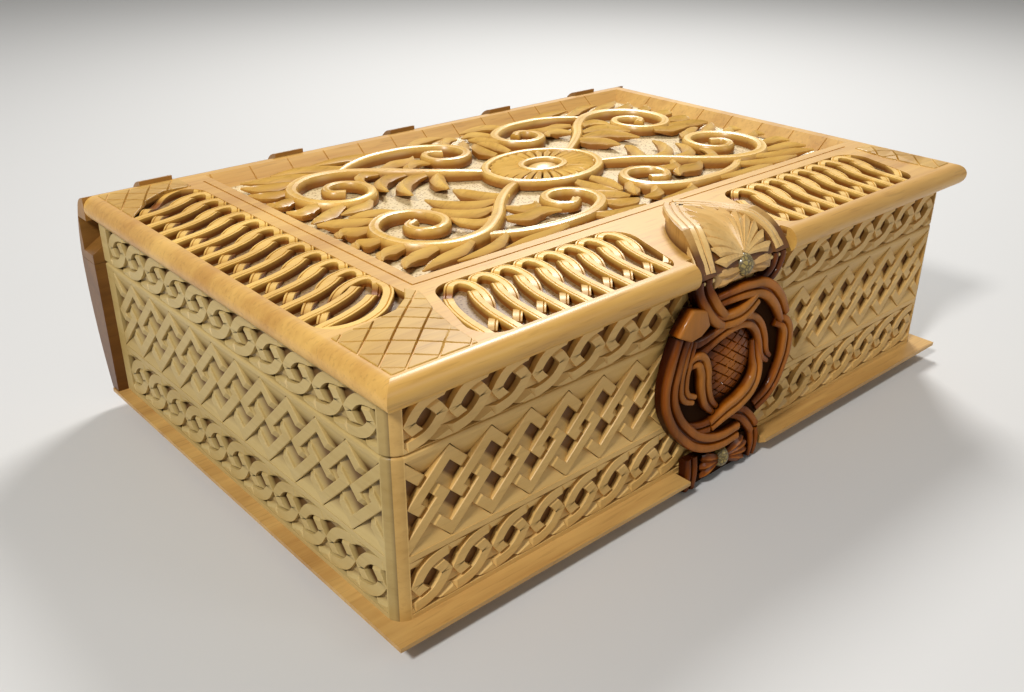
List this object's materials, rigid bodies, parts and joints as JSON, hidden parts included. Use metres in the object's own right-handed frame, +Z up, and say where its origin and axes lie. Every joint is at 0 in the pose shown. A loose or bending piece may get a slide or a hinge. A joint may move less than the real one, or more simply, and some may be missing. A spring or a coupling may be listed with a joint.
{
  "type": "book box",
  "caption": "Carved wooden keepsake box shaped like a closed book, with a hinged cover and a swinging carved clasp.",
  "frame": {"origin": "on the underside of the base board, below the middle of the page block", "axes": "+X along the fore-edge towards the head end, +Y from the clasp towards the spine, +Z up"},
  "size_m": [0.31, 0.224, 0.1015],
  "materials": {
    "pale_wood": "waxed pale wood",
    "base_walnut": "oiled walnut",
    "cover_walnut": "varnished golden walnut",
    "spine_walnut": "varnished walnut",
    "carved_walnut": "varnished walnut",
    "clasp_walnut": "varnished dark walnut",
    "bead": "olive gold",
    "brass": "satin",
    "magnet": "nickel plated"
  },
  "bodies": {
    "body": {"base_board": "base_walnut", "front_wall": "pale_wood", "tail_wall": "pale_wood", "head_wall": "pale_wood", "back_wall": "pale_wood", "lower_spine": "spine_walnut", "lower_spine_bands": "spine_walnut", "hinge_lower_leaves": "brass", "hinge_lower_screws": "brass", "hinge_pins": "brass", "strike_plate": "brass", "strike_magnet": "magnet", "catch_foot": "clasp_walnut", "catch_bead": "bead"},
    "lid": {"cover_board": "cover_walnut", "relief_scrolls": "cover_walnut", "relief_rosette": "cover_walnut", "lid_front_rim": "pale_wood", "lid_tail_rim": "pale_wood", "lid_head_rim": "pale_wood", "lid_back_rim": "pale_wood", "upper_spine": "spine_walnut", "upper_spine_bands": "spine_walnut", "hinge_upper_leaves": "brass", "hinge_upper_screws": "brass", "cover_arch": "carved_walnut", "palmette": "carved_walnut", "palmette_bead": "bead", "clasp_lug": "carved_walnut", "clasp_pins": "brass"},
    "clasp": {"clasp_strap": "clasp_walnut", "clasp_medallion": "clasp_walnut", "clasp_cabochon": "clasp_walnut", "clasp_tab": "clasp_walnut", "clasp_magnet": "magnet"}
  },
  "joints": [
    {"name": "lid_hinge", "type": "hinge", "parent": "body", "child": "lid", "pos_m": [0, 0.1148, 0.0665], "axis": [-1, 0, 0], "range_deg": [0, 95]},
    {"name": "clasp_hinge", "type": "hinge", "parent": "lid", "child": "clasp", "pos_m": [0, -0.1025, 0.0856], "axis": [-1, 0, 0], "range_deg": [0, 90]}
  ]
}
